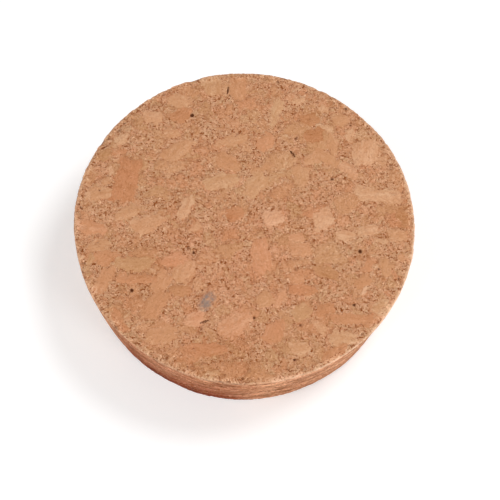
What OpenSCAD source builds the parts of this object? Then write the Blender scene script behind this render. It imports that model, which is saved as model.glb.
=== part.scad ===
// Tapered cork stopper for a wide jar mouth, cut from pressed cork granules as one solid.
// It stands on its small face. The origin is the centre of that face, with +Z up the axis.

/* [Stopper] */
// Diameter of the large face, to its sharp corner
large_d = 85; // [60:1:110]
// Diameter of the small face, to its sharp corner
small_d = 80; // [55:1:105]
// Height from the small face to the large face
height = 22; // [14:1:40]

/* [Edges] */
// Radius rubbed onto the edge of the large face
large_edge_r = 0.5; // [0.2:0.1:2]
// Radius rubbed onto the edge of the small face
small_edge_r = 0.8; // [0.2:0.1:2]

/* [Pores] */
// Depth of a round pore as a share of its mouth's radius
pore_depth_share = 0.9; // [0.4:0.05:1]
// Band left whole inside the edge of a flat face and along both ends of the side
edge_margin = 2.5; // [2:0.5:5]

/* [Granule beds] */
// Reach of the smallest bed's mouth from its middle
bed_min_r = 0.5; // [0.3:0.1:0.8]
// Reach of the largest bed's mouth from its middle
bed_max_r = 1.0; // [0.8:0.1:1.5]
// Number of beds in the small face
small_face_beds = 18; // [0:1:40]
// Number of beds round the side
side_beds = 24; // [0:1:40]

/* [Cracks] */
// Length of a crack's mouth, which is twice its depth
crack_length = 2.6; // [1:0.1:4]
// Width of a crack's mouth at its middle
crack_width = 0.5; // [0.2:0.1:0.8]

/* [Rim chips] */
// Depth of a flake broken from the large rim, measured square to the corner
flake_depth = 0.7; // [0.3:0.1:1.2]
// Number of granules missing from the large rim
large_rim_beds = 11; // [0:1:16]
// Reach of a bed in the large rim from the corner
large_rim_bed_r = 1.1; // [0.8:0.1:2]
// Number of granules missing from the small rim
small_rim_beds = 7; // [0:1:12]
// Reach of a bed in the small rim from the corner
small_rim_bed_r = 1.6; // [0.8:0.1:2]

/* [Hidden] */
body_sides = 180;
hollow_sides = 24;
edge_steps = 6;
golden_angle = 137.5;
bed_seed = 7;
// Turns that point one corner of a cube nearly straight down, to give an uneven mouth
bed_lean = [48, -32, 0];
// Depth of a bed as a share of its mouth's reach
bed_depth_share = 0.7;
taper = atan((large_d - small_d) / 2 / height);
large_face_free_r = large_d / 2 - large_edge_r - edge_margin;
small_face_free_r = small_d / 2 - small_edge_r - edge_margin;

// Round pores in the large face: share of the free radius, angle round the axis, mouth radius
large_face_pores = [
    [0.82, 115, 0.65], [0.75, 344, 0.45], [0.63, 28, 0.35], [0.39, 215, 0.50], [0.85, 215, 0.40],
    [0.77, 296, 0.50], [0.65, 275, 0.50], [0.97, 45, 0.40], [0.25, 60, 0.30]
];
// Granule beds in the large face: share of the free radius, angle round the axis, reach
large_face_beds = [
    [0.56, 205, 0.6], [0.54, 241, 0.7], [0.76, 336, 0.5], [0.89, 339, 0.8], [0.45, 314, 0.6],
    [0.87, 320, 0.9], [0.94, 168, 0.8], [0.90, 250, 0.8], [0.70, 72, 0.6], [0.95, 12, 0.7],
    [0.36, 132, 0.5], [0.84, 60, 0.7], [0.93, 190, 0.8], [0.96, 288, 0.9]
];
// Cracks in the large face: share of the free radius, angle round the axis, direction of the slit
cracks = [[0.94, 97, 85], [0.56, 57, 125], [0.72, 250, 20]];
// Flakes off the large rim: angle round the axis, length of the break along the rim
flakes = [[109, 5], [289, 4.5], [304, 2], [262, 2.5], [63, 3], [150, 3.5], [200, 2.2], [335, 2.6]];

// Radius of the side at a height, before its edges are rubbed round
function side_radius(z) = small_d / 2 + z * tan(taper);

// Radius of the ball that cuts a round hollow of this mouth radius and depth
function ball_r(mouth_r, depth) = (mouth_r * mouth_r + depth * depth) / 2 / depth;

// Points of the arc that rounds an edge, from one direction to another about its centre
function edge_arc(centre, r, from, to) =
    [for (i = [0 : edge_steps]) let (a = from + (to - from) * i / edge_steps)
        centre + r * [cos(a), sin(a)]];

// Half section: the axis, the small face, its edge, the side, the large edge and the large face
module half_section() {
    small_c = [side_radius(small_edge_r) - small_edge_r / cos(taper), small_edge_r];
    large_c = [
        side_radius(height - large_edge_r) - large_edge_r / cos(taper),
        height - large_edge_r
    ];
    polygon(concat(
        [[0, 0]],
        edge_arc(small_c, small_edge_r, -90, -taper),
        edge_arc(large_c, large_edge_r, -taper, 90),
        [[0, height]]
    ));
}

// Round hollow with its mouth on the plane z = 0
module pore(mouth_r) {
    depth = pore_depth_share * mouth_r;
    r = ball_r(mouth_r, depth);
    translate([0, 0, r - depth]) sphere(r = r, $fn = hollow_sides);
}

// Three-sided bed of a granule that has dropped out, with its mouth on the plane z = 0
module granule_bed(reach, turn) {
    rotate([0, 0, turn])
        translate([0, 0, -bed_depth_share * reach])
            rotate(bed_lean) cube(3 * reach);
}

// Slit along X with its mouth on the plane z = 0, pointed at both ends and along its bottom
module crack() {
    r = ball_r(crack_length / 2, crack_width / 2);
    shift = r - crack_width / 2;
    intersection() {
        translate([0, shift, 0]) sphere(r = r, $fn = 2 * hollow_sides);
        translate([0, -shift, 0]) sphere(r = r, $fn = 2 * hollow_sides);
    }
}

// Scoop across the corner of the large rim at angle 0
module flake(length) {
    r = ball_r(length / 2, flake_depth);
    reach = (r - flake_depth) / sqrt(2);
    translate([large_d / 2 + reach, 0, height + reach]) sphere(r = r, $fn = 2 * hollow_sides);
}

module large_face_hollows() {
    for (p = large_face_pores)
        rotate([0, 0, p[1]]) translate([p[0] * large_face_free_r, 0, height]) pore(p[2]);
    for (b = large_face_beds)
        rotate([0, 0, b[1]])
            translate([b[0] * large_face_free_r, 0, height]) granule_bed(b[2], 7 * b[1]);
    for (c = cracks)
        rotate([0, 0, c[1]])
            translate([c[0] * large_face_free_r, 0, height]) rotate([0, 0, c[2] - c[1]]) crack();
}

// The beds spread over the small face on a spiral that gives each the same room
module small_face_hollows() {
    reaches = rands(bed_min_r, bed_max_r, small_face_beds, bed_seed);
    for (i = [0 : 1 : small_face_beds - 1])
        rotate([0, 0, i * golden_angle])
            translate([small_face_free_r * sqrt((i + 1) / small_face_beds), 0, 0])
                mirror([0, 0, 1]) granule_bed(reaches[i], i * golden_angle);
}

module side_hollows() {
    low = small_edge_r + edge_margin;
    high = height - large_edge_r - edge_margin;
    heights = rands(low, high, side_beds, bed_seed + 1);
    reaches = rands(bed_min_r, bed_max_r, side_beds, bed_seed + 2);
    for (i = [0 : 1 : side_beds - 1])
        rotate([0, 0, 360 * (i + 0.5) / side_beds])
            translate([side_radius(heights[i]), 0, heights[i]])
                rotate([0, 90 + taper, 0]) granule_bed(reaches[i], i * golden_angle);
}

module rim_breaks() {
    for (f = flakes) rotate([0, 0, f[0]]) flake(f[1]);
    for (i = [0 : 1 : large_rim_beds - 1])
        rotate([0, 0, (i + 0.2) * golden_angle])
            translate([large_d / 2, 0, height])
                rotate([0, 45, 0]) granule_bed(large_rim_bed_r, i * golden_angle);
    for (i = [0 : 1 : small_rim_beds - 1])
        rotate([0, 0, (i + 0.5) * golden_angle])
            translate([small_d / 2, 0, 0])
                rotate([0, 135, 0]) granule_bed(small_rim_bed_r, i * golden_angle);
}

module stopper() {
    color([0.78, 0.58, 0.43])
        difference() {
            rotate_extrude($fn = body_sides) half_section();
            large_face_hollows();
            small_face_hollows();
            side_hollows();
            rim_breaks();
        }
}

stopper();
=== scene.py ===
import math
import bpy
import numpy as np
from mathutils import Matrix, Vector


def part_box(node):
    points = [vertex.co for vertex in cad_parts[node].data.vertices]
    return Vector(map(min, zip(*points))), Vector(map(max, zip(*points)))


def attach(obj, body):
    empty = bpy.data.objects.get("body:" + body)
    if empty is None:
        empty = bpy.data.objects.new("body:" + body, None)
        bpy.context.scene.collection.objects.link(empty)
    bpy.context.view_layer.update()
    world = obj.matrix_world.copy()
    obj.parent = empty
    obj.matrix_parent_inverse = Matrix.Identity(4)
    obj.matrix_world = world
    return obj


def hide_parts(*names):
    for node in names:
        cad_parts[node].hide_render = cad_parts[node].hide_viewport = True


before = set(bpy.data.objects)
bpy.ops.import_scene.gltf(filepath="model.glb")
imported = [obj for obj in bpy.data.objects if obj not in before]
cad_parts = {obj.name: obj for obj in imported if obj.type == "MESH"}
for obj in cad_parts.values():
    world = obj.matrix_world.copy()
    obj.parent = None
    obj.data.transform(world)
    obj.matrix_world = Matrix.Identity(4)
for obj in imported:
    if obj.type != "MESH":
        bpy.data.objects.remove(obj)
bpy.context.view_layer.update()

mm = 0.001
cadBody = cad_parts["stopper"]
lowCorner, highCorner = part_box("stopper")
print("frame loaded:", [round(side / mm, 2) for side in highCorner - lowCorner], "mm")


# small helpers for node trees; they fill a shader tree and a geometry tree alike
def feed(tree, socket, value):
    if isinstance(value, bpy.types.NodeSocket):
        tree.links.new(value, socket)
    elif value is not None:
        socket.default_value = value


def feedAll(tree, sockets, values):
    for name, value in values.items():
        feed(tree, sockets[name], value)


def put(tree, kind, inputs=None, **settings):
    node = tree.nodes.new(kind)
    for name, value in settings.items():
        setattr(node, name, value)
    feedAll(tree, node.inputs, inputs or {})
    return node


def maths(tree, operation, a, b=None, c=None, clamp=False):
    node = put(tree, "ShaderNodeMath", operation=operation, use_clamp=clamp)
    for socket, value in zip(node.inputs, (a, b, c)):
        feed(tree, socket, value)
    return node.outputs[0]


def times(tree, first, *others):
    for other in others:
        first = maths(tree, "MULTIPLY", first, other)
    return first


def larger(tree, first, *others):
    for other in others:
        first = maths(tree, "MAXIMUM", first, other)
    return first


def added(tree, base, value, share):  # base + share x value
    return maths(tree, "MULTIPLY_ADD", value, share, base)


def oneMinus(tree, value, share=None):
    return maths(tree, "SUBTRACT", 1.0, value if share is None else times(tree, value, share))


def swing(tree, value):  # 0 to 1 becomes -1 to 1
    return maths(tree, "MULTIPLY_ADD", value, 2.0, -1.0)


def vectorMaths(tree, operation, a, b=None, scale=None):
    node = put(tree, "ShaderNodeVectorMath", operation=operation)
    feed(tree, node.inputs[0], a)
    feed(tree, node.inputs[1], b)
    feed(tree, node.inputs[3], scale)
    single = operation in ("LENGTH", "DOT_PRODUCT", "DISTANCE")
    return node.outputs["Value" if single else "Vector"]


def ease(tree, value, low, high, start=0.0, end=1.0):  # smooth step from start to end
    node = put(tree, "ShaderNodeMapRange", interpolation_type="SMOOTHSTEP")
    for socket, number in zip(node.inputs, (value, low, high, start, end)):
        feed(tree, socket, number)
    return node.outputs[0]


def blend(tree, share, a, b):  # numbers
    node = put(tree, "ShaderNodeMix", data_type="FLOAT")
    for index, value in ((0, share), (2, a), (3, b)):
        feed(tree, node.inputs[index], value)
    return node.outputs[0]


def blendVector(tree, share, a, b):
    node = put(tree, "ShaderNodeMix", data_type="VECTOR")
    for index, value in ((0, share), (4, a), (5, b)):
        feed(tree, node.inputs[index], value)
    return node.outputs[1]


def blendColour(tree, share, a, b, way="MIX"):
    node = put(tree, "ShaderNodeMix", data_type="RGBA", blend_type=way)
    for index, value in ((0, share), (6, a), (7, b)):
        feed(tree, node.inputs[index], value)
    return node.outputs[2]


def noise(tree, place, scale, detail, roughness, output=0, swirl=0.0):
    return put(tree, "ShaderNodeTexNoise", {
        "Vector": place, "Scale": scale, "Detail": detail, "Roughness": roughness,
        "Distortion": swirl}).outputs[output]


def streaks(tree, place, scales, detail, roughness, swirl=0.0):  # noise with a scale for each axis
    drawn = vectorMaths(tree, "MULTIPLY", place, scales)
    return noise(tree, drawn, 1.0, detail, roughness, swirl=swirl)


def cells(tree, place, scale=1.0, feature="F1", output="Distance"):
    inputs = {"Vector": place, "Scale": scale}
    return put(tree, "ShaderNodeTexVoronoi", inputs, feature=feature).outputs[output]


def parts(tree, vector):
    return put(tree, "ShaderNodeSeparateXYZ", {"Vector": vector}).outputs


def joined(tree, x, y, z):
    return put(tree, "ShaderNodeCombineXYZ", {"X": x, "Y": y, "Z": z}).outputs[0]


def turned(tree, vector, angle):  # about the upright axis
    inputs = {"Vector": vector, "Angle": angle}
    return put(tree, "ShaderNodeVectorRotate", inputs, rotation_type="Z_AXIS").outputs[0]


def linear(red, green, blue):  # from a screen colour, 0 to 255
    values = [v / 255 for v in (red, green, blue)]
    return [v / 12.92 if v <= 0.04045 else ((v + 0.055) / 1.055) ** 2.4 for v in values] + [1.0]


def newGroup(name, kind, takes, gives):  # socket names by type, such as {"Float": ("Gap", "Turn")}
    tree = bpy.data.node_groups.new(name, kind)
    for way, sockets in (("INPUT", takes), ("OUTPUT", gives)):
        for socketType, labels in sockets.items():
            for label in labels:
                tree.interface.new_socket(label, in_out=way, socket_type="NodeSocket" + socketType)
    return tree, tree.nodes.new("NodeGroupInput").outputs, tree.nodes.new("NodeGroupOutput").inputs


def useGroup(tree, group, values):
    shader = tree.bl_idname == "ShaderNodeTree"
    return put(tree, "ShaderNodeGroup" if shader else "GeometryNodeGroup", values, node_tree=group).outputs


def objectPlace(tree):
    return put(tree, "ShaderNodeTexCoord").outputs["Object"]


def newMaterial(name):
    material = bpy.data.materials.new(name)
    material.use_nodes = True
    return material, material.node_tree, material.node_tree.nodes["Principled BSDF"].inputs


def addObject(name, data):
    thing = bpy.data.objects.new(name, data)
    bpy.context.scene.collection.objects.link(thing)
    return thing


# camera: the viewing angle on the large face
camera = {
    "place": (-7.07, -121.88, 293.4),  # mm
    "aim": (1.2, -8.1, 22.0),
    "upward": (-0.0118, 0.9223, 0.3863),
    "lens": 86.5,
    "sensor": 36.0,
    "clip": (0.01, 10.0),  # m
}


def makeCamera(values):
    data = bpy.data.cameras.new("benchCamera")
    data.lens = values["lens"]
    data.sensor_width = values["sensor"]
    data.clip_start, data.clip_end = values["clip"]
    thing = addObject("benchCamera", data)
    place = Vector(values["place"]) * mm
    back = (place - Vector(values["aim"]) * mm).normalized()
    right = Vector(values["upward"]).cross(back).normalized()
    up = back.cross(right)
    thing.matrix_world = Matrix.Translation(place) @ Matrix((right, up, back)).transposed().to_4x4()
    bpy.context.scene.camera = thing


makeCamera(camera)
print("camera placed")

# studio: floor, four soft lamps and a pale surround
studio = {
    "floorSize": 6.0,  # m
    "floorColour": (0.82, 0.82, 0.82, 1),
    "floorRoughness": 0.9,
    "floorShine": 0.1,
    "floorLift": (0.3, 0.9),  # near and far: a glow that lights nothing, so that the bench reads as white
    "liftReach": (0.12, 0.5),  # m from the part
    "surroundColour": (1, 1, 1, 1),
    "surroundLevel": 0.22,
    "lampAim": (0, 0, 11),  # mm
    "lamps": {  # place (mm), size (mm), watts
        "keyLamp": ((230, 150, 420), 240, 1.43),
        "frontLamp": ((390, -370, 130), 200, 1.5),
        "lowLamp": ((-390, -370, 130), 200, 0.62),
        "fillLamp": ((-330, -170, 340), 420, 1.05),
    },
}


def seenRays(tree):  # 1 for a ray from the camera, straight, mirrored or through something clear
    rays = tree.nodes.new("ShaderNodeLightPath").outputs
    total = maths(tree, "ADD", rays["Is Camera Ray"], rays["Is Glossy Ray"])
    return maths(tree, "ADD", total, rays["Is Transmission Ray"], clamp=True)


def makeFloor(values):
    size = values["floorSize"] / 2
    mesh = bpy.data.meshes.new("benchTop")
    corners = [(-size, -size, 0), (size, -size, 0), (size, size, 0), (-size, size, 0)]
    mesh.from_pydata(corners, [], [(0, 1, 2, 3)])
    floor = addObject("benchTop", mesh)
    material, tree, shader = newMaterial("benchPaper")
    away = vectorMaths(tree, "LENGTH", objectPlace(tree))
    lift = ease(tree, away, *values["liftReach"], *values["floorLift"])
    feedAll(tree, shader, {
        "Base Color": values["floorColour"], "Roughness": values["floorRoughness"],
        "Specular IOR Level": values["floorShine"], "Emission Color": (1, 1, 1, 1),
        "Emission Strength": times(tree, seenRays(tree), lift)})
    mesh.materials.append(material)


def makeLamp(name, place, side, watts, target):
    data = bpy.data.lights.new(name, "AREA")
    data.shape = "DISK"
    data.size = side * mm
    data.energy = watts
    lamp = addObject(name, data)
    lamp.location = Vector(place) * mm
    aim = Vector(target) * mm - lamp.location
    lamp.rotation_euler = aim.to_track_quat("-Z", "Y").to_euler()


def makeSurround(values):
    world = bpy.data.worlds.new("studioSurround")
    world.use_nodes = True
    tree = world.node_tree
    level = blend(tree, seenRays(tree), values["surroundLevel"], 1.0)
    feedAll(tree, tree.nodes["Background"].inputs, {"Color": values["surroundColour"], "Strength": level})
    bpy.context.scene.world = world
    bpy.context.scene.view_settings.view_transform = "Standard"


makeFloor(studio)
for lampName, lampValues in studio["lamps"].items():
    makeLamp(lampName, *lampValues, studio["lampAim"])
makeSurround(studio)
print("studio lit")

# grain: how the pressed cork granules lie, in mm; the same field gives the colour and the relief
grain = {
    "bend": [(0.32, 1.2), (1.0, 0.4), (2.6, 0.16)],  # outlines made uneven: noise scale (1/mm), reach
    "shards": (1.1, 0.3),  # the same for the small facets that break an outline
    "wallStretch": 0.7,  # the ground wall's granules are flatter by this share
    "layers": {
        # size, stretch, turn (degrees), share, darkest and palest tone, weight, offset
        "fineGrit": (0.95, 1.3, 20, 0.80, (-0.5, 0.4), 0.2, (3.1, 7.7, 1.3)),
        "smallGrit": (1.9, 1.5, -35, 0.68, (-0.36, 0.36), 0.45, (11.3, 2.9, 5.1)),
        "mediumGrain": (2.9, 1.6, 65, 0.5, (-0.24, 0.28), 0.62, (5.9, 13.1, 8.3)),
        "coarseGrain": (4.6, 1.7, -15, 0.26, (-0.12, 0.25), 0.8, (21.7, 4.3, 2.2)),
    },
    "layerThickness": 0.75,  # of a granule's size
    "layerTrim": (0.03, 0.15),  # taken off a granule's edge, in shares of its size
    "layerEdge": (-0.02, 0.04),
    "layerGap": 0.07,  # width of the seam round a granule
    "corner": (0.79, 0.36),  # how much a placed granule's corners are cut, and less for its squareness
    "slant": 1.6,  # for each unit of taper
    "placedEdge": (0.95, 0.98),
    "placedGap": (1.0, 1.11, 0.7),  # start, end and strength of the seam round it
    # placed: centre x, y, half length, half width, turn (degrees), squareness, taper, tone, tint
    "placed": [
        (-29.8, 10.5, 6.0, 3.1, 80, 0.8, 0.05, -0.5, 1.2),
        (-31.5, 22.0, 2.1, 1.1, 30, 0.2, 0.16, 1.15, -0.2),
        (-23.5, 28.5, 2.3, 2.0, 20, 0.3, 0.16, 0.65, 0.1),
        (-17.0, 33.5, 3.1, 2.0, -30, 0.5, -0.07, 0.45, 0.0),
        (-18.5, 24.0, 2.1, 1.5, 10, 0.4, 0.07, 0.35, -0.1),
        (-17.0, 19.0, 4.6, 2.2, 40, 0.5, 0.16, 0.3, -0.1),
        (-6.0, 10.5, 4.6, 2.0, 15, 0.4, 0.12, 0.6, -0.5),
        (-3.5, 22.0, 4.2, 1.5, 8, 0.3, -0.16, 0.5, 0.1),
        (-14.8, 3.0, 3.3, 1.6, 75, 0.4, 0.16, 0.8, 0.0),
        (-29.0, 1.5, 3.1, 1.6, 20, 0.4, -0.12, 0.5, -0.1),
        (-35.5, 17.5, 1.8, 1.6, 60, 0.3, 0.16, -0.5, -0.9),
        (-8.7, 38.0, 3.1, 2.5, 100, 0.5, -0.12, 0.4, -0.4),
        (-36.2, 6.6, 2.8, 2.0, 10, 0.4, 0.12, 0.35, -0.2),
        (-39.3, 5.8, 1.4, 1.0, 80, 0.3, 0.07, 1.0, -0.2),
        (-16.3, 29.5, 2.6, 2.1, 50, 0.4, 0.16, -0.3, 0.9),
        (-2.5, 2.0, 2.3, 2.0, 0, 0.3, -0.07, -0.4, 0.9),
        (-33.7, 12.9, 1.4, 0.8, 70, 0.3, -0.07, 1.0, 0.0),
        (30.5, 19.4, 3.7, 3.3, 80, 0.5, 0.1, 0.85, 0.05),
        (33.5, 7.2, 5.7, 1.9, -4, 0.8, 0.04, 0.85, -0.15),
        (26.0, 14.0, 3.1, 1.4, -32, 0.3, 0.12, 0.7, 0.6),
        (6.9, 0.6, 2.8, 2.1, 15, 0.4, 0.1, 1.1, 0.5),
        (20.5, 26.0, 2.0, 1.2, 10, 0.3, 0.16, 0.85, 0.0),
        (22.3, 21.5, 3.6, 1.2, 105, 0.4, 0.12, 0.3, 0.1),
        (13.6, 34.0, 1.9, 1.0, 20, 0.2, 0.12, 0.8, 0.0),
        (8.0, 30.6, 4.2, 1.4, 70, 0.4, -0.16, 0.65, -0.5),
        (24.5, 28.5, 2.1, 1.5, 5, 0.4, -0.07, 0.2, 0.0),
        (26.7, 24.4, 2.0, 1.2, 70, 0.2, -0.07, 0.9, 0.0),
        (17.0, 17.4, 2.6, 1.7, 20, 0.4, -0.16, 0.5, 0.2),
        (14.0, 12.4, 3.0, 2.0, 80, 0.5, -0.07, 0.4, 0.1),
        (4.3, 14.2, 3.3, 1.0, 30, 0.2, 0.16, 0.05, 0.0),
        (20.4, 31.6, 1.5, 0.8, 15, 0.2, 0.12, 0.7, 0.1),
        (17.5, 24.0, 2.5, 2.0, 0, 0.3, -0.16, -0.75, 0.8),
        (5.0, 21.8, 2.6, 2.0, 40, 0.4, -0.12, 0.2, 0.9),
        (19.2, 0.3, 3.0, 2.4, 40, 0.5, -0.16, 0.95, 0.2),
        (24.5, -3.9, 2.3, 1.5, -20, 0.3, -0.12, 0.8, 0.1),
        (30.6, -2.4, 3.1, 1.3, 20, 0.5, -0.07, 0.85, 0.0),
        (-23.8, -1.4, 4.1, 2.4, 32, 0.5, 0.16, 0.6, 0.1),
        (-20.4, -17.0, 2.7, 2.3, 50, 0.6, -0.12, 0.7, 0.3),
        (-14.7, -13.9, 3.1, 2.4, 65, 0.5, 0.07, 0.5, -0.3),
        (-27.0, -12.0, 5.1, 1.8, 0, 0.4, -0.12, 0.4, -1.0),
        (-26.4, -16.0, 5.0, 1.2, 6, 0.3, 0.07, 0.25, 1.0),
        (-34.0, -10.4, 2.6, 1.9, 30, 0.4, 0.12, 0.05, 0.8),
        (-34.2, -16.4, 3.8, 1.8, 72, 0.5, 0.16, 0.35, 0.6),
        (-12.4, -26.2, 2.6, 1.6, 12, 0.5, -0.16, 0.9, 0.7),
        (-2.2, -27.4, 4.3, 2.6, 38, 0.4, 0.12, 0.7, 0.6),
        (-7.4, -39.8, 2.0, 0.9, -8, 0.3, -0.16, 0.5, -0.4),
        (-37.6, -11.0, 1.3, 1.0, 90, 0.2, 0.12, 0.2, -1.6),
        (23.8, -30.5, 3.4, 1.9, 3, 0.4, 0.12, 0.65, -0.3),
        (18.2, -28.0, 2.1, 1.6, 100, 0.4, -0.16, 0.55, 0.0),
        (13.0, -33.0, 2.0, 1.7, 20, 0.4, 0.16, 0.6, -0.1),
        (4.0, -9.6, 4.6, 2.4, 100, 0.5, 0.12, 0.35, 0.8),
        (26.4, -25.6, 5.6, 1.4, -8, 0.4, -0.07, -0.1, 0.6),
        (33.3, -22.8, 2.3, 1.9, 30, 0.5, 0.07, 0.6, -0.8),
        (13.5, -24.0, 2.4, 1.9, 40, 0.4, -0.12, 0.2, -1.0),
        (28.7, -18.5, 0.8, 0.6, 60, 0.2, -0.12, 1.4, 0.3),
        (34.5, -12.4, 2.6, 1.8, 80, 0.4, -0.07, 0.1, -0.1),
        (12.6, -4.6, 2.1, 1.3, 10, 0.4, 0.12, 0.4, 0.6),
        (8.6, -20.6, 2.6, 1.3, 62, 0.3, -0.07, 0.5, 0.4),
        (12.6, -15.4, 1.9, 1.2, 0, 0.3, 0.07, 0.3, 0.4),
        (10.6, -41.2, 4.2, 1.5, 14, 0.4, 0.05, 1.2, 1.0),
        (-12.0, -2.3, 1.4, 1.2, 30, 0.4, -0.16, 0.3, 0.0),
        (-37.6, -2.6, 3.8, 1.8, -8, 0.4, 0.12, 0.4, 1.0),
        (-35.9, -7.4, 2.6, 1.6, 20, 0.3, -0.12, 0.4, -0.1),
        (-17.2, -10.9, 3.6, 1.6, 12, 0.4, 0.07, 0.45, 0.9),
        (-19.8, -30.4, 3.8, 2.1, 5, 0.4, -0.07, 0.35, 0.0),
        (-9.0, -33.5, 5.2, 1.6, 2, 0.4, 0.07, 0.0, 1.2),
        (-29.8, -27.0, 3.2, 1.4, -48, 0.3, 0.12, -0.35, 1.1),
        (-15.5, -18.7, 2.6, 1.4, 10, 0.3, 0.1, -0.25, 0.0),
        (-12.9, -39.4, 1.7, 0.9, -15, 0.3, 0.1, 0.5, 0.3),
        (-21.5, -22.6, 4.0, 2.4, 60, 0.5, 0.12, 0.05, 0.4),
        (-4.2, 15.9, 3.2, 2.2, -20, 0.4, 0.12, 0.05, 0.3),
        (-2.0, 37.6, 3.4, 2.4, 90, 0.4, -0.07, 0.1, 0.4),
        (20.9, 17.6, 3.4, 1.5, -28, 0.4, 0.1, 0.15, 0.1),
        (2.6, 9.8, 4.0, 2.2, 55, 0.4, -0.1, 0.4, -0.3),
        (16.5, 28.5, 2.4, 1.9, 20, 0.4, 0.12, -0.55, 0.6),
        (13.5, -7.8, 2.6, 1.8, 10, 0.4, -0.12, 0.4, 0.6),
        (33.7, -5.2, 1.7, 0.8, 0, 0.3, 0.1, 0.95, -0.2),
        (37.8, -3.5, 2.4, 1.2, -10, 0.4, 0.07, 0.6, -0.1),
        (38.9, -9.8, 1.4, 1.1, 20, 0.4, 0.1, 0.25, 0.3),
        (30.0, -12.0, 1.9, 1.3, 60, 0.3, -0.1, -0.1, 0.8),
        (19.6, -13.5, 3.4, 1.6, -15, 0.4, 0.12, -0.4, -0.2),
        (13.9, -18.3, 3.2, 1.6, -12, 0.4, -0.1, -0.25, 0.9),
        (32.0, -25.2, 1.2, 0.8, 30, 0.2, 0.1, 0.2, 0.0),
        (4.8, -20.9, 2.4, 2.0, 30, 0.4, 0.07, 0.2, -0.5),
        (28.7, -16.1, 2.2, 1.4, 40, 0.3, 0.1, -0.25, 0.3),
        (19.1, -23.5, 2.4, 1.4, 10, 0.4, -0.07, -0.35, 0.7),
        (7.0, -29.0, 3.0, 2.4, 70, 0.4, 0.12, 0.05, 0.7),
        (21.3, -34.4, 3.4, 1.5, 35, 0.4, 0.07, -0.35, 0.6),
        (39.6, 1.2, 1.6, 2.6, 5, 0.4, 0.1, -0.35, 0.0),
    ],
}


def granuleLayerGroup(kind, values):
    takes = {"Vector": ("Place", "Look", "Spacing", "Offset"),
             "Float": ("Solid", "Gap", "Turn", "Share", "Darkest", "Palest", "Weight")}
    gives = {"Vector": ("Look",), "Float": ("Solid", "Gap")}
    tree, ins, outs = newGroup("granuleLayer", kind, takes, gives)
    moved = vectorMaths(tree, "ADD", ins["Place"], ins["Offset"])
    local = vectorMaths(tree, "DIVIDE", turned(tree, moved, ins["Turn"]), ins["Spacing"])
    chance = parts(tree, cells(tree, local, output="Color"))
    margin = cells(tree, local, feature="DISTANCE_TO_EDGE")
    there = maths(tree, "LESS_THAN", chance["X"], ins["Share"])
    outer = maths(tree, "SUBTRACT", margin, blend(tree, chance["Z"], *values["layerTrim"]))
    mask = times(tree, ease(tree, outer, *values["layerEdge"]), there)
    tone = blend(tree, chance["Y"], ins["Darkest"], ins["Palest"])
    again = maths(tree, "FRACT", times(tree, chance["Z"], 7.0))  # a second draw from the same chance
    direction = maths(tree, "DIVIDE", chance["X"], ins["Share"])
    look = joined(tree, tone, swing(tree, again), direction)
    ring = ease(tree, maths(tree, "ABSOLUTE", outer), 0.0, values["layerGap"], 1.0, 0.0)
    covered = times(tree, ins["Gap"], oneMinus(tree, mask))
    feedAll(tree, outs, {
        "Look": blendVector(tree, mask, ins["Look"], look),
        "Solid": blend(tree, mask, ins["Solid"], ins["Weight"]),
        "Gap": larger(tree, covered, times(tree, ring, there))})
    return tree


def placedGrainGroup(kind, values):  # one granule: a tapered, slanted box with its corners cut
    takes = {"Vector": ("Place", "Look", "Own", "Along", "Across"),
             "Float": ("Below", "Solid", "Gap", "Along start", "Across start", "Thin", "Corner", "Taper",
                       "Slant")}
    gives = {"Vector": ("Look",), "Float": ("Solid", "Gap")}
    tree, ins, outs = newGroup("placedGrain", kind, takes, gives)
    along = vectorMaths(tree, "DOT_PRODUCT", ins["Place"], ins["Along"])
    across = vectorMaths(tree, "DOT_PRODUCT", ins["Place"], ins["Across"])
    x = maths(tree, "SUBTRACT", along, ins["Along start"])
    y = maths(tree, "SUBTRACT", across, ins["Across start"])
    narrowed = maths(tree, "MULTIPLY_ADD", times(tree, x, ins["Taper"]), y, y)
    long = maths(tree, "ABSOLUTE", added(tree, x, narrowed, ins["Slant"]))
    wide = maths(tree, "ABSOLUTE", narrowed)
    corner = times(tree, maths(tree, "ADD", long, wide), ins["Corner"])
    reach = larger(tree, long, wide, times(tree, ins["Below"], ins["Thin"]), corner)
    mask = ease(tree, reach, *values["placedEdge"], 1.0, 0.0)
    gapStart, gapEnd, gapStrength = values["placedGap"]
    ring = larger(tree, ins["Gap"], ease(tree, reach, gapStart, gapEnd, gapStrength, 0.0))
    feedAll(tree, outs, {
        "Look": blendVector(tree, mask, ins["Look"], ins["Own"]),
        "Solid": larger(tree, ins["Solid"], mask),
        "Gap": times(tree, ring, oneMinus(tree, mask))})
    return tree


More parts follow.
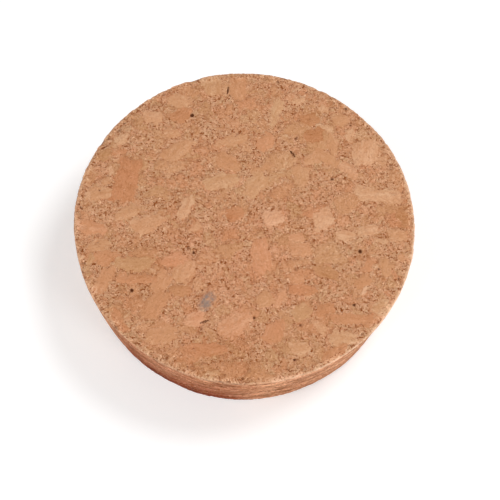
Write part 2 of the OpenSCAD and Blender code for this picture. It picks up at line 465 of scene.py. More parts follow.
def grainFieldGroup(kind, values, height):
    layer = granuleLayerGroup(kind, values)
    single = placedGrainGroup(kind, values)
    gives = {"Vector": ("Look", "Bent"), "Float": ("Solid", "Gap")}
    tree, ins, outs = newGroup("grainField", kind, {"Vector": ("Place",)}, gives)
    centre = (0.5, 0.5, 0.5)  # of the noise's own range
    bent = ins["Place"]
    for scale, reach in values["bend"]:
        drift = vectorMaths(tree, "SUBTRACT", noise(tree, ins["Place"], scale, 2, 0.5, output=1), centre)
        bent = vectorMaths(tree, "ADD", bent, vectorMaths(tree, "SCALE", drift, scale=2 * reach))
    scale, reach = values["shards"]
    shift = vectorMaths(tree, "SUBTRACT", cells(tree, bent, scale, output="Color"), centre)
    broken = vectorMaths(tree, "ADD", bent, vectorMaths(tree, "SCALE", shift, scale=2 * reach))
    chain = {"Look": joined(tree, 0.0, 0.0, 0.0), "Solid": 0.0, "Gap": 0.0}
    for size, stretch, turn, share, tones, weight, offset in values["layers"].values():
        spacing = (size * stretch, size, size * values["layerThickness"])
        made = useGroup(tree, layer, {
            "Place": broken, "Spacing": spacing, "Offset": offset, "Turn": math.radians(turn),
            "Share": share, "Darkest": tones[0], "Palest": tones[1], "Weight": weight, **chain})
        chain = {label: made[label] for label in chain}
    below = maths(tree, "SUBTRACT", height, parts(tree, broken)["Z"])
    roundCorner, squareCorner = values["corner"]
    for x, y, long, wide, turn, square, taper, tone, tint in values["placed"]:
        across, rise = math.cos(math.radians(turn)), math.sin(math.radians(turn))
        made = useGroup(tree, single, {
            "Place": broken, "Below": below,
            "Along": (across / long, rise / long, 0), "Along start": (x * across + y * rise) / long,
            "Across": (-rise / wide, across / wide, 0), "Across start": (y * across - x * rise) / wide,
            "Thin": 1 / wide, "Corner": roundCorner - squareCorner * square, "Taper": taper,
            "Slant": values["slant"] * taper, "Own": (tone, tint, turn / 180), **chain})
        chain = {label: made[label] for label in chain}
    feedAll(tree, outs, {**chain, "Bent": bent})
    return tree


def drawnOut(tree, place, wall, height):  # the wall was ground, so its granules are flatter
    spots = parts(tree, place)
    above = maths(tree, "SUBTRACT", spots["Z"], height)
    stretch = added(tree, 1.0, wall, grain["wallStretch"])
    return joined(tree, spots["X"], spots["Y"], added(tree, height, above, stretch))


# cork: the stopper's one finish; places and reaches in mm
# noise is given as its scale (1/mm), detail, roughness and swirl, and tone and tint are shares added up
cork = {
    "brightest": linear(234, 186, 148),
    "pale": linear(217, 171, 136),
    "middle": linear(197, 141, 101),
    "dark": linear(164, 106, 62),
    "deepest": linear(136, 66, 12),
    "darkToMiddle": (-1.2, 0.15),  # tone
    "middleToPale": (0.0, 1.2),
    # tone: what each thing adds to it
    "startTone": -0.21,
    "granuleTone": 0.68,
    "lineTone": 0.72,
    "looseTone": 0.73,
    "crumbTone": 0.46,
    "strokeTone": (2.4, 4.1),  # least and most
    "cloudTone": 0.12,
    "gapTone": 0.15,
    "dimTone": -0.35,
    "dimPlaces": [(-5.0, -38.0, 17), (40.0, 1.0, 9), (-24.0, -15.0, 13)],  # x, y and reach
    "growthLines": ((0.14, 1.1, 0.9), 3, 0.6),
    "strands": ((0.3, 2.6, 2.0), 2, 0.6),
    "strandShare": 0.6,
    "strokes": ((1.2, 4.0, 3.2), 3, 0.7, 0.5),
    "coarseness": (0.3, 1, 0.5),
    "coarsenessEdge": (0.36, 0.64),
    "cloud": (0.16, 3, 0.55),
    # crumb between the granules
    "bound": 0.76,  # how far a granule keeps the crumb out
    "crumbScale": 2.9,
    "frayedReach": (39.0, 41.6, 0.0, 0.85),  # from the axis, and how loose the cork is there
    "frayedDepth": (1.5, 0.5),  # below the large face
    "chipEdge": (0.972, 0.98),
    "frayedChips": 0.09,
    "partly": (0.9, 1, 0.5),  # where the granules' outlines show
    "partlyEdge": (0.47, 0.54),
    "outline": 0.36,
    "specks": (2.6, 3, 0.65),
    "speckEdge": (0.67, 0.685),
    "strokeSpeck": (0.32, 0.30),
    "wideSeams": {"scale": 0.95, "gate": (1.1, 1, 0.5), "gateEdge": (0.60, 0.625), "edge": (0.13, 0.2)},
    "tightSeams": {"scale": 1.8, "gate": (1.6, 1, 0.5), "gateEdge": (0.61, 0.635), "edge": (0.2, 0.3)},
    "seamShare": 0.95,
    "lipEdge": (0.42, 0.22),
    "lipShare": 0.65,
    # tint: above 0 is pinker, below 0 more olive
    "pink": (1.045, 0.95, 0.955, 1),
    "pinkShare": 0.75,
    "olive": (0.955, 1.02, 1.0, 1),
    "oliveShare": -0.9,
    "startTint": -0.38,
    "looseTint": 0.6,
    "wallTint": 0.8,
    "hue": (0.11, 2, 0.5),
    "hueTint": 0.8,
    "warmPlace": (-4.0, -16.0),
    "warmReach": 30.0,
    "warmTint": 0.9,
    # ground wall: its streaks, and on one side a dark red-brown that deepens towards the small face,
    # partly a stain and partly painted shade
    "wallStreaks": ((0.38, 0.38, 0.95), 4, 0.6, 1.2),
    "wallBands": ((0.085, 0.085, 0.46), 2, 0.45, 1.4),
    "streakShare": 0.72,
    "bandShare": 0.95,
    "wallTone": 1.8,
    "wallGlow": 1.2,  # how much the streaks brighten and dim the colour itself
    "ruddy": linear(122, 44, 14),
    "ruddySide": (-0.423, -0.906, 0.0),
    "ruddyReach": (0.85, 0.97, 0.2, 0.93),  # facing that side, and the stain and painted shade away from it and on it
    "ruddyStreaks": ((0.09, 0.09, 0.5), 3, 0.6),
    "ruddyEdge": (0.45, 0.7),
    "ruddyStreakShare": 0.2,
    "ruddyDepth": 18.0,  # below the large face
    "ruddyPower": 1.6,
    "ruddyRange": (0.44, 0.8),  # at the top, and what is added at that depth
    # painted shade in the hollows and pores, one bluish fleck and a painted highlight along the large rim,
    # strongest on one side
    "hollow": linear(84, 40, 14),
    "hollowEdge": (0.24, 0.50),
    "deepHollow": (0.7, 1.0, 0.9, 0.2),  # the deepest are shaded by their shape already
    "shadedPores": [(28.3, -8.1, 0.72), (-27.3, -19.0, 0.65), (21.9, 11.6, 0.55)],  # x, y and reach
    "poreMiddle": 0.45,  # of the reach
    "fleckColour": linear(144, 124, 114),
    "fleckPlace": (-9.2, -21.6),
    "fleckSize": (3.3, 2.0, 1.8),
    "fleckTurn": -0.9,
    "fleckEdge": (0.5, 1.05),
    "fleckPatches": (1.1, 3, 0.7),
    "fleckPatchEdge": (0.36, 0.6, 0.2, 0.9),
    # painted highlight on the large rim
    "rubbed": linear(243, 203, 170),
    "rubbedSide": (0.90, -0.44, 0.0),
    "rubbedReach": (0.5, 0.9, 0.33, 1.0),
    "rubbedPatches": (0.6, 3, 0.6),
    "rubbedPatchEdge": (0.3, 0.55, 0.35, 0.8),
    # surface
    "looseRoughness": 0.88,
    "solidRoughness": -0.08,  # added by a granule
    "shine": 0.12,
    "bumpReach": 0.0002,  # m
    "bumpNoise": (2.6, 4, 0.65),
    "bumpBound": 0.8,
}


def corkTone(tree, here, values, height):  # how pale the cork is
    place, aligned, loose = here["place"], here["aligned"], here["loose"]
    broad = swing(tree, streaks(tree, aligned, *values["growthLines"]))
    narrow = swing(tree, streaks(tree, aligned, *values["strands"]))
    lines = added(tree, broad, narrow, values["strandShare"])
    tone = added(tree, times(tree, lines, values["lineTone"]), here["look"]["X"], values["granuleTone"])
    tone = added(tree, maths(tree, "ADD", tone, values["startTone"]), loose, values["looseTone"])
    crumb = swing(tree, here["grit"]["X"])
    tone = added(tree, tone, times(tree, crumb, loose), values["crumbTone"])
    coarse = noise(tree, place, *values["coarseness"])
    coarse = ease(tree, coarse, *values["coarsenessEdge"], *values["strokeTone"])
    tone = added(tree, tone, times(tree, swing(tree, here["strokes"]), loose), coarse)
    tone = added(tree, tone, swing(tree, noise(tree, place, *values["cloud"])), values["cloudTone"])
    for x, y, spread in values["dimPlaces"]:
        away = vectorMaths(tree, "DISTANCE", place, (x, y, height))
        tone = maths(tree, "ADD", tone, ease(tree, away, 0.0, spread, values["dimTone"], 0.0))
    return maths(tree, "SUBTRACT", tone, times(tree, here["outline"], values["gapTone"]))


def corkTint(tree, here, values, height):
    hue = swing(tree, noise(tree, here["place"], *values["hue"]))
    tint = added(tree, here["look"]["Y"], hue, values["hueTint"])
    away = vectorMaths(tree, "DISTANCE", here["place"], (*values["warmPlace"], height))
    tint = maths(tree, "ADD", tint, ease(tree, away, 0.0, values["warmReach"], values["warmTint"], 0.0))
    tint = added(tree, maths(tree, "ADD", tint, values["startTint"]), here["loose"], values["looseTint"])
    return added(tree, tint, here["wall"], values["wallTint"])


def wallSmear(tree, here, values):  # the wall was ground, so its granules are drawn out round it
    fine = swing(tree, streaks(tree, here["place"], *values["wallStreaks"]))
    broad = swing(tree, streaks(tree, here["place"], *values["wallBands"]))
    smear = added(tree, times(tree, fine, values["streakShare"]), broad, values["bandShare"])
    return times(tree, smear, here["wall"])


def wallStainAndShade(tree, here, values, height):  # partly a stain, partly painted shade: dark red-brown on one side, and more of it towards the small face
    streaky = ease(tree, streaks(tree, here["place"], *values["ruddyStreaks"]), *values["ruddyEdge"])
    streaky = added(tree, 1.0 - values["ruddyStreakShare"], streaky, values["ruddyStreakShare"])
    facing = vectorMaths(tree, "DOT_PRODUCT", here["bearing"], values["ruddySide"])
    depth = maths(tree, "SUBTRACT", height, here["spots"]["Z"])
    depth = larger(tree, maths(tree, "DIVIDE", depth, values["ruddyDepth"]), 0.0)
    start, rise = values["ruddyRange"]
    sinking = added(tree, start, maths(tree, "POWER", depth, values["ruddyPower"]), rise)
    stainedAndShaded = times(tree, ease(tree, facing, *values["ruddyReach"]), sinking)
    return maths(tree, "MULTIPLY", times(tree, streaky, stainedAndShaded), here["wall"], clamp=True)


def seamLines(tree, bent, gatePlace, recipe):  # distance to the nearest line, where lines are, the lines
    gate = ease(tree, noise(tree, gatePlace, *recipe["gate"]), *recipe["gateEdge"])
    away = cells(tree, bent, recipe["scale"], feature="DISTANCE_TO_EDGE")
    return away, gate, times(tree, ease(tree, away, *recipe["edge"], 1.0, 0.0), gate)


def markCrumb(tree, here, values, colour):  # dark specks and short dark seams, partly the crumb's own dark marks, partly painted shade in its pits and gaps; some seams have a pale lip, a painted highlight
    bent, loose = here["bent"], here["loose"]
    away, gate, wideSeam = seamLines(tree, bent, bent, values["wideSeams"])
    tightSeam = seamLines(tree, bent, here["place"], values["tightSeams"])[2]
    # painted highlight: a pale lip beside the wide seams
    lipHighlight = times(tree, ease(tree, away, *values["lipEdge"]), gate, loose, values["lipShare"])
    colour = blendColour(tree, lipHighlight, colour, values["brightest"])
    speck = ease(tree, noise(tree, bent, *values["specks"]), *values["speckEdge"])
    speck = times(tree, larger(tree, speck, ease(tree, here["strokes"], *values["strokeSpeck"])), loose)
    seam = times(tree, larger(tree, wideSeam, tightSeam), loose, values["seamShare"])
    darkMarksAndShade = larger(tree, speck, seam, times(tree, here["outline"], values["outline"]))
    return blendColour(tree, darkMarksAndShade, colour, values["deepest"])


def shadeHollows(tree, here, values, height, colour):
    # painted shade: the hollows darken with depth, less in the deepest, and so do the listed pores
    deep = ease(tree, here["sunk"], *values["deepHollow"])
    shade = times(tree, ease(tree, here["sunk"], *values["hollowEdge"]), deep)
    colour = blendColour(tree, shade, colour, values["hollow"])
    for x, y, spread in values["shadedPores"]:
        away = vectorMaths(tree, "DISTANCE", here["place"], (x, y, height))
        pore = ease(tree, away, values["poreMiddle"] * spread, spread, 1.0, 0.0)
        colour = blendColour(tree, pore, colour, values["hollow"])
    return colour


def stainFleck(tree, here, values, height, colour):
    away = vectorMaths(tree, "SUBTRACT", here["bent"], (*values["fleckPlace"], height))
    away = vectorMaths(tree, "DIVIDE", turned(tree, away, values["fleckTurn"]), values["fleckSize"])
    fleck = ease(tree, vectorMaths(tree, "LENGTH", away), *values["fleckEdge"], 1.0, 0.0)
    patches = ease(tree, noise(tree, here["bent"], *values["fleckPatches"]), *values["fleckPatchEdge"])
    return blendColour(tree, times(tree, fleck, patches), colour, values["fleckColour"])


def paintRimHighlight(tree, here, values, colour):
    # painted highlight: the large rim is paler all round and most on one side, where light would catch the
    # rounded edge
    facing = vectorMaths(tree, "DOT_PRODUCT", here["bearing"], values["rubbedSide"])
    rubbed = times(tree, here["rim"], ease(tree, facing, *values["rubbedReach"]))
    patches = ease(tree, noise(tree, here["place"], *values["rubbedPatches"]), *values["rubbedPatchEdge"])
    return blendColour(tree, times(tree, rubbed, patches), colour, values["rubbed"])


def corkColourGroup(values, height):
    field = grainFieldGroup("ShaderNodeTree", grain, height)
    takes = {"Vector": ("Place",), "Float": ("Sunk", "Wall", "Rim")}
    gives = {"Color": ("Colour",), "Float": ("Roughness",)}
    tree, ins, outs = newGroup("corkSurface", "ShaderNodeTree", takes, gives)
    place, wall = ins["Place"], ins["Wall"]
    found = useGroup(tree, field, {"Place": drawnOut(tree, place, wall, height)})
    look, bent, solid = parts(tree, found["Look"]), found["Bent"], found["Solid"]
    spots = parts(tree, place)
    level = joined(tree, spots["X"], spots["Y"], 0.0)
    outwards = ease(tree, vectorMaths(tree, "LENGTH", level), *values["frayedReach"])
    upwards = ease(tree, spots["Z"], *(height - depth for depth in values["frayedDepth"]))
    frayed = times(tree, outwards, upwards)
    loose = larger(tree, oneMinus(tree, solid, values["bound"]), frayed)
    partly = ease(tree, noise(tree, place, *values["partly"]), *values["partlyEdge"])
    aligned = turned(tree, bent, times(tree, look["Z"], -math.pi))  # along each granule's own direction
    here = {
        "place": place, "bent": bent, "aligned": aligned, "spots": spots, "look": look, "loose": loose,
        "wall": wall, "sunk": ins["Sunk"], "rim": ins["Rim"],
        "bearing": vectorMaths(tree, "NORMALIZE", level),
        "outline": times(tree, found["Gap"], partly),
        "grit": parts(tree, cells(tree, bent, values["crumbScale"], output="Color")),
        "strokes": streaks(tree, aligned, *values["strokes"]),
    }
    smear = wallSmear(tree, here, values)
    tone = added(tree, corkTone(tree, here, values, height), smear, values["wallTone"])
    colour = blendColour(tree, ease(tree, tone, *values["darkToMiddle"]), values["dark"], values["middle"])
    colour = blendColour(tree, ease(tree, tone, *values["middleToPale"]), colour, values["pale"])
    # partly a stain, partly painted shade: dark red-brown on one side of the wall, deeper towards the
    # small face
    colour = blendColour(tree, wallStainAndShade(tree, here, values, height), colour, values["ruddy"])
    colour = vectorMaths(tree, "SCALE", colour, scale=added(tree, 1.0, smear, values["wallGlow"]))
    tint = corkTint(tree, here, values, height)
    for name in ("pink", "olive"):
        share = maths(tree, "MULTIPLY", tint, values[name + "Share"], clamp=True)
        colour = blendColour(tree, share, colour, blendColour(tree, 1.0, colour, values[name], "MULTIPLY"))
    chips = ease(tree, added(tree, here["grit"]["Y"], frayed, values["frayedChips"]), *values["chipEdge"])
    colour = blendColour(tree, times(tree, chips, loose), colour, values["brightest"])
    colour = markCrumb(tree, here, values, colour)
    colour = shadeHollows(tree, here, values, height, colour)
    colour = stainFleck(tree, here, values, height, colour)
    rough = added(tree, values["looseRoughness"], solid, values["solidRoughness"])
    # the rim's painted highlight is the last step of the colour
    feedAll(tree, outs, {"Colour": paintRimHighlight(tree, here, values, colour), "Roughness": rough})
    return tree


def crumbHeightGroup(values):  # the finest relief, kept cheap because the bump asks for it three times
    takes = {"Vector": ("Place",), "Float": ("Solid",)}
    tree, ins, outs = newGroup("crumbHeight", "ShaderNodeTree", takes, {"Float": ("Height",)})
    fine = swing(tree, noise(tree, ins["Place"], *values["bumpNoise"]))
    feedAll(tree, outs, {"Height": times(tree, fine, oneMinus(tree, ins["Solid"], values["bumpBound"]))})
    return tree


def corkMaterial(values, height):
    material, tree, shader = newMaterial("pressedCork")
    place = vectorMaths(tree, "SCALE", objectPlace(tree), scale=1 / mm)
    # mesh values: depth for the painted hollow shade, wall share, the rim band for the painted highlight,
    # granule share
    meshValues = {}
    for name in ("sunk", "wall", "rim", "solid"):
        meshValues[name] = put(tree, "ShaderNodeAttribute", attribute_name=name).outputs["Fac"]
    made = useGroup(tree, corkColourGroup(values, height), {
        "Place": place, "Sunk": meshValues["sunk"], "Wall": meshValues["wall"], "Rim": meshValues["rim"]})
    crumb = useGroup(tree, crumbHeightGroup(values), {"Place": place, "Solid": meshValues["solid"]})
    bump = put(tree, "ShaderNodeBump", {
        "Height": crumb["Height"], "Strength": 1.0, "Distance": values["bumpReach"]})
    feedAll(tree, shader, {
        "Base Color": made["Colour"], "Roughness": made["Roughness"], "Normal": bump.outputs["Normal"],
        "Specular IOR Level": values["shine"]})
    return material


# stopper: the pressed disc, large face up; sizes in mm
stopper = {
    "cellsAcross": 280,  # on each face
    "cellsUp": 64,
    "cellsRound": 5,  # on each rubbed edge
    "largeRadius": 42.5,
    "smallRadius": 40.0,
    "height": 22.0,
    "topRound": 0.5,
    "bottomRound": 0.8,
    "rayStart": 2.0,  # outside the blank, and from there to the CAD body
    "rayLength": 6.0,  # more than any hollow needs
    "crackDepth": 0.52,  # no hollow of the large face is deeper than this
    "faceBand": 0.1,  # counts as the large face
    "crumbDepth": 0.13,
    "crumbNoise": (1.3, 3, 0.6),
    "bound": 0.85,  # how far a granule keeps the crumb's relief out
    "seamDepth": 0.10,
    "pitSpacing": 3.4,
    "pitShare": 0.10,
    "pitDepth": 0.26,
    "pitWidth": (0.10, 0.24),  # of the spacing
    "pitWall": (0.45, 1.0),  # of the pit's width
    "rimWear": 0.35,
    "rimBand": 1.1,  # how far up or down a rim is worn
    "rimInside": 2.0,  # and how far in from the small radius
    "rimNoise": (0.55, 4, 0.65),
    "rimNoiseEdge": (0.42, 0.75),
    "rubbedInside": (0.9, 0.55),  # from the large radius, where the painted rim highlight starts and is whole
    "rubbedBelow": (0.8, 0.4),
    "outOfRound": 0.35,
    "swellNoise": (0.035, 1, 0.5),
    "swellEdge": (0.3, 0.7),
    "seed": 4.0,  # of the pits
    "trianglesKept": 190000,
}


def discGrid(count):  # square grid bent to a disc, unit radius
    steps = np.linspace(-1.0, 1.0, count + 1)
    u, v = np.meshgrid(steps, steps, indexing="xy")
    wide = np.abs(u) > np.abs(v)
    radius = np.where(wide, u, v)
    safe = np.where(radius == 0, 1.0, radius)
    angle = np.where(wide, math.pi / 4 * v / safe, math.pi / 2 - math.pi / 4 * u / safe)
    return radius * np.cos(angle), radius * np.sin(angle)


def onArc(middle, level, radius, turn):
    return middle + radius * math.cos(turn), level + radius * math.sin(turn), turn


def profileOf(values):  # from the bottom face's edge up to the top face's edge: radius, height, outward
    slope = (values["largeRadius"] - values["smallRadius"]) / values["height"]
    lean = math.atan(slope)
    low, high = values["bottomRound"], values["topRound"]
    lowArc = (values["smallRadius"] + slope * low - low / math.cos(lean), low, low)
    highArc = (values["largeRadius"] - slope * high - high / math.cos(lean), values["height"] - high, high)
    arcSteps, straight = values["cellsRound"], values["cellsUp"]
    quarter = math.pi / 2
    rows = [onArc(*lowArc, -quarter + (quarter - lean) * step / arcSteps) for step in range(arcSteps)]
    start, end = onArc(*lowArc, -lean), onArc(*highArc, -lean)
    for step in range(straight + 1):
        rows.append([a + (b - a) * step / straight for a, b in zip(start, end)])
    rows += [onArc(*highArc, -lean + (quarter + lean) * (step + 1) / arcSteps) for step in range(arcSteps)]
    return rows


def discBlank(values):
    count = values["cellsAcross"]
    x, y = discGrid(count)
    rows = profileOf(values)
    border = [(0, k) for k in range(count)] + [(k, count) for k in range(count)]
    border += [(count, count - k) for k in range(count)] + [(count - k, 0) for k in range(count)]
    border = np.array(border)  # once round the grid's edge, anticlockwise
    ringX, ringY = x[border[:, 0], border[:, 1]], y[border[:, 0], border[:, 1]]
    points, outward, wall = [], [], []
    for level, radius, side in ((0.0, rows[0][0], -1.0), (values["height"], rows[-1][0], 1.0)):
        points.append(np.stack([x.ravel() * radius, y.ravel() * radius, np.full(x.size, level)], 1))
        outward.append(np.tile((0.0, 0.0, side), (x.size, 1)))
        wall.append(np.zeros(x.size))
    for radius, level, turn in rows[1:-1]:
        points.append(np.stack([ringX * radius, ringY * radius, np.full(len(border), level)], 1))
        across, rise = math.cos(turn), math.sin(turn)
        outward.append(np.stack([ringX * across, ringY * across, np.full(len(border), rise)], 1))
        wall.append(np.full(len(border), across))
    grid = np.arange(x.size).reshape(x.shape)
    quads = np.stack([grid[:-1, :-1], grid[:-1, 1:], grid[1:, 1:], grid[1:, :-1]], -1).reshape(-1, 4)
    faces = [quads[:, ::-1], quads + x.size]
    edge = grid[border[:, 0], border[:, 1]]
    rings = [edge]
    rings += [2 * x.size + len(border) * k + np.arange(len(border)) for k in range(len(rows) - 2)]
    rings += [edge + x.size]
    for low, high in zip(rings[:-1], rings[1:]):
        faces.append(np.stack([low, np.roll(low, -1), np.roll(high, -1), high], 1))
    mesh = bpy.data.meshes.new("stopperBlank")
    mesh.from_pydata((np.concatenate(points) * mm).tolist(), [], np.concatenate(faces).tolist())
    attribute = mesh.attributes.new("outward", "FLOAT_VECTOR", "POINT")
    attribute.data.foreach_set("vector", np.concatenate(outward).astype(np.float32).ravel())
    attribute = mesh.attributes.new("wall", "FLOAT", "POINT")
    attribute.data.foreach_set("value", np.concatenate(wall).astype(np.float32))
    return mesh


def readAttribute(tree, name, kind="FLOAT"):
    node = put(tree, "GeometryNodeInputNamedAttribute", {"Name": name}, data_type=kind)
    return node.outputs["Attribute"]


def storeAttribute(tree, geometry, name, value, kind="FLOAT"):
    inputs = {"Geometry": geometry, "Name": name, "Value": value}
    return put(tree, "GeometryNodeStoreNamedAttribute", inputs, data_type=kind, domain="POINT").outputs[0]


def moveAlong(tree, geometry, direction, travel):
    inputs = {"Geometry": geometry, "Offset": vectorMaths(tree, "SCALE", direction, scale=travel)}
    return put(tree, "GeometryNodeSetPosition", inputs).outputs[0]


def layOnBody(tree, ins, outward, values):  # takes over the CAD body's pores, beds, cracks and flakes
    start = put(tree, "GeometryNodeInputPosition").outputs[0]
    place = vectorMaths(tree, "SCALE", start, scale=1 / mm)
    lift = vectorMaths(tree, "SCALE", outward, scale=values["rayStart"] * mm)
    body = put(tree, "GeometryNodeObjectInfo", {"Object": ins["CAD body"]}).outputs["Geometry"]
    ray = put(tree, "GeometryNodeRaycast", {
        "Target Geometry": body, "Source Position": vectorMaths(tree, "ADD", start, lift),
        "Ray Direction": vectorMaths(tree, "SCALE", outward, scale=-1.0),
        "Ray Length": values["rayLength"] * mm}).outputs
    depth = maths(tree, "MULTIPLY_ADD", ray["Hit Distance"], 1 / mm, -values["rayStart"])
    depth = times(tree, larger(tree, depth, 0.0), ray["Is Hit"])
    kept = storeAttribute(tree, ins["Geometry"], "cadDepth", depth)
    kept = storeAttribute(tree, kept, "restPlace", place, "FLOAT_VECTOR")
    spots = parts(tree, place)
    fromAxis = vectorMaths(tree, "LENGTH", joined(tree, spots["X"], spots["Y"], 0.0))
    onFace = maths(tree, "GREATER_THAN", spots["Z"], values["height"] - values["faceBand"])
    onFace = times(tree, onFace, maths(tree, "LESS_THAN", fromAxis, values["smallRadius"]))
    limit = blend(tree, onFace, values["rayLength"], ins["crackDepth"])
    return moveAlong(tree, kept, outward, times(tree, maths(tree, "MINIMUM", depth, limit), -mm))


def pitRelief(tree, ins, rest, values):  # small round pits, one in some of the cells
    seeded = vectorMaths(tree, "ADD", rest, joined(tree, ins["seed"], ins["seed"], 0.0))
    spread = vectorMaths(tree, "SCALE", seeded, scale=maths(tree, "DIVIDE", 1.0, ins["pitSpacing"]))
    chance = parts(tree, cells(tree, spread, output="Color"))
    there = maths(tree, "LESS_THAN", chance["X"], ins["pitShare"])
    away = maths(tree, "DIVIDE", cells(tree, spread), blend(tree, chance["Y"], *values["pitWidth"]))
    return times(tree, ease(tree, away, *values["pitWall"], 1.0, 0.0), there, ins["pitDepth"])


def rimRelief(tree, ins, rest, fromAxis, values):  # ragged wear on both rims
    middle, inside = values["height"] / 2, values["smallRadius"]
    away = maths(tree, "ABSOLUTE", maths(tree, "SUBTRACT", parts(tree, rest)["Z"], middle))
    onRim = times(tree, ease(tree, away, middle - values["rimBand"], middle),
                  ease(tree, fromAxis, inside - values["rimInside"], inside))
    ragged = ease(tree, noise(tree, rest, *values["rimNoise"]), *values["rimNoiseEdge"])
    return times(tree, ragged, onRim, ins["rimWear"])


def rubbedRim(tree, rest, fromAxis, values):  # where the large rim takes the painted highlight
    radii = [values["largeRadius"] - inside for inside in values["rubbedInside"]]
    levels = [values["height"] - below for below in values["rubbedBelow"]]
    return times(tree, ease(tree, fromAxis, *radii), ease(tree, parts(tree, rest)["Z"], *levels))


# the sizes that the tree takes as inputs
wearSizes = ("crackDepth", "crumbDepth", "seamDepth", "pitSpacing", "pitShare", "pitDepth", "rimWear",
             "outOfRound", "seed")


def wearTree(values):
    kind = "GeometryNodeTree"
    takes = {"Geometry": ("Geometry",), "Object": ("CAD body",), "Material": ("Finish",),
             "Float": wearSizes}
    tree, ins, outs = newGroup("stopperWear", kind, takes, {"Geometry": ("Geometry",)})
    outward, wall = readAttribute(tree, "outward", "FLOAT_VECTOR"), readAttribute(tree, "wall")
    laid = layOnBody(tree, ins, outward, values)
    rest = readAttribute(tree, "restPlace", "FLOAT_VECTOR")
    fromAxis = vectorMaths(tree, "LENGTH", vectorMaths(tree, "MULTIPLY", rest, (1, 1, 0)))
    field = grainFieldGroup(kind, grain, values["height"])
    found = useGroup(tree, field, {"Place": drawnOut(tree, rest, wall, values["height"])})
    loose = oneMinus(tree, found["Solid"], values["bound"])
    crumb = times(tree, noise(tree, rest, *values["crumbNoise"]), loose, ins["crumbDepth"])
    seams = times(tree, found["Gap"], ins["seamDepth"])
    pits = pitRelief(tree, ins, rest, values)
    rims = rimRelief(tree, ins, rest, fromAxis, values)
    relief = maths(tree, "ADD", maths(tree, "ADD", crumb, seams), maths(tree, "ADD", pits, rims))
    # a wall that isn't quite round
    scale, detail, roughness = values["swellNoise"]
    swell = noise(tree, vectorMaths(tree, "SCALE", rest, scale=scale), 1.0, detail, roughness)
    swell = times(tree, ease(tree, swell, *values["swellEdge"]), ins["outOfRound"], wall)
    # what the finish reads
    sunk = maths(tree, "ADD", relief, readAttribute(tree, "cadDepth"))
    stored = storeAttribute(tree, laid, "sunk", sunk)
    stored = storeAttribute(tree, stored, "solid", found["Solid"])
    # the band along the large rim that takes the painted highlight
    stored = storeAttribute(tree, stored, "rim", rubbedRim(tree, rest, fromAxis, values))
    carved = moveAlong(tree, stored, outward, times(tree, maths(tree, "ADD", relief, swell), -mm))
    plain = put(tree, "GeometryNodeRealizeInstances", {"Geometry": carved}).outputs[0]
    dressed = put(tree, "GeometryNodeSetMaterial", {"Geometry": plain, "Material": ins["Finish"]})
    feedAll(tree, outs, {"Geometry": dressed.outputs[0]})
    return tree


# mapLayout: the stopper's flat map, from 0 to 1: each face has a patch, and the wall has two strips
mapLayout = {
    "faceDepth": 1.2,  # mm, a face's patch reaches this far below it and this far in from the wall
    "faceLean": 0.6,  # or further, where the surface lies flatter than this
    "topCorner": (0.005, 0.375),
    "topSide": 0.62,
    "bottomCorner": (0.64, 0.375),
    "bottomSide": 0.355,
    "wallCorner": (0.008, 0.008),
    "wallLength": 0.984,
    "wallHeight": 0.165,
    "stripStep": 0.185,
}


def readMesh(items, name, width, kind=np.float64):
    values = np.empty(len(items) * width, kind)
    items.foreach_get(name, values)
    return values.reshape(-1, width) if width > 1 else values


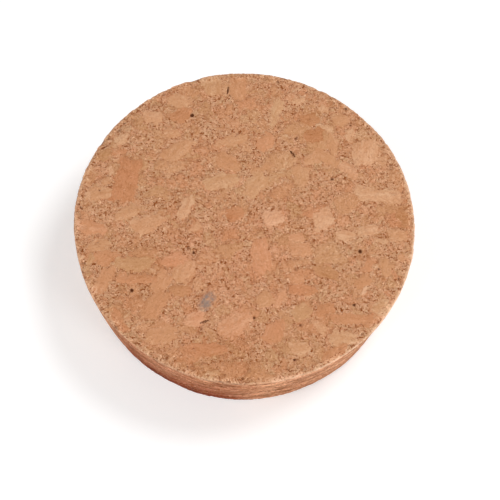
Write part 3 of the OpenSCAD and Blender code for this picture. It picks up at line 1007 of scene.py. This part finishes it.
def layOutMap(mesh, values, layout):
    corner = readMesh(mesh.loops, "vertex_index", 1, np.int32)
    points = readMesh(mesh.vertices, "co", 3)[corner] / mm
    upward = readMesh(mesh.polygons, "normal", 3)[:, 2]
    centres = readMesh(mesh.polygons, "center", 3) / mm
    owner = np.repeat(np.arange(len(mesh.polygons)), readMesh(mesh.polygons, "loop_total", 1, np.int32))
    high, span = values["height"], values["largeRadius"] * 2
    taper = (values["largeRadius"] - values["smallRadius"]) / high
    inside = values["smallRadius"] - layout["faceDepth"] + centres[:, 2] * taper
    within = np.hypot(centres[:, 0], centres[:, 1]) < inside
    onTop = (centres[:, 2] > high - layout["faceDepth"]) & (within | (upward > layout["faceLean"]))
    onBottom = (centres[:, 2] < layout["faceDepth"]) & (within | (upward < -layout["faceLean"]))
    onWall = ~(onTop | onBottom)
    place = np.empty((len(corner), 2))
    for axis in (0, 1):
        place[:, axis] = layout["topCorner"][axis] + layout["topSide"] * (points[:, axis] / span + 0.5)
    low = onBottom[owner]
    for axis, way in ((0, -1), (1, 1)):  # seen from below
        share = way * points[low, axis] / span + 0.5
        place[low, axis] = layout["bottomCorner"][axis] + layout["bottomSide"] * share
    side = onWall[owner]
    faceAngle = np.arctan2(centres[:, 1], centres[:, 0])[owner[side]]
    angle = np.arctan2(points[side, 1], points[side, 0])
    angle = faceAngle + (angle - faceAngle + math.pi) % (2 * math.pi) - math.pi
    far = faceAngle > 0
    along = (angle + np.where(far, 0.0, math.pi)) / math.pi
    strip = layout["wallCorner"][1] + np.where(far, layout["stripStep"], 0.0)
    place[side, 0] = layout["wallCorner"][0] + layout["wallLength"] * along
    place[side, 1] = strip + points[side, 2] * (layout["wallHeight"] / high)
    layer = mesh.uv_layers.new(name="OFBake")
    layer.data.foreach_set("uv", place.astype(np.float32).ravel())
    print("map laid out:", onTop.sum(), "top,", onBottom.sum(), "bottom and", onWall.sum(), "wall faces")


def makeStopper(values, finish):
    blank = discBlank(values)
    thing = addObject("stopperBlank", blank)
    print("blank:", len(blank.vertices), "points")
    tree = wearTree(values)
    wear = thing.modifiers.new("wear", "NODES")
    wear.node_group = tree
    sockets = {item.name: item.identifier for item in tree.interface.items_tree if item.in_out == "INPUT"}
    wear[sockets["CAD body"]] = cadBody
    wear[sockets["Finish"]] = finish
    for label in wearSizes:
        wear[sockets[label]] = values[label]
    bpy.context.view_layer.update()
    graph = bpy.context.evaluated_depsgraph_get()
    mesh = bpy.data.meshes.new_from_object(thing.evaluated_get(graph))
    thing.modifiers.clear()
    bpy.data.objects.remove(thing)
    for name in ("outward", "restPlace", "cadDepth"):
        mesh.attributes.remove(mesh.attributes[name])
    piece = addObject("stopperCork", mesh)
    triangles = 2 * len(mesh.polygons)
    thin = piece.modifiers.new("thin", "DECIMATE")
    thin.ratio = values["trianglesKept"] / triangles
    graph = bpy.context.evaluated_depsgraph_get()
    light = bpy.data.meshes.new_from_object(piece.evaluated_get(graph))
    piece.modifiers.clear()
    piece.data = light
    bpy.data.meshes.remove(mesh)
    light.name = "stopperCork"
    light.shade_smooth()
    points = np.clip(readMesh(light.vertices, "co", 3), list(lowCorner), list(highCorner))
    light.vertices.foreach_set("co", points.ravel())
    layOutMap(light, values, mapLayout)
    print("stopper:", len(light.loops) - 2 * len(light.polygons), "triangles from", triangles)
    return piece


corkFinish = corkMaterial(cork, stopper["height"])
stopperCork = makeStopper(stopper, corkFinish)
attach(stopperCork, "root")
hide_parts("stopper")
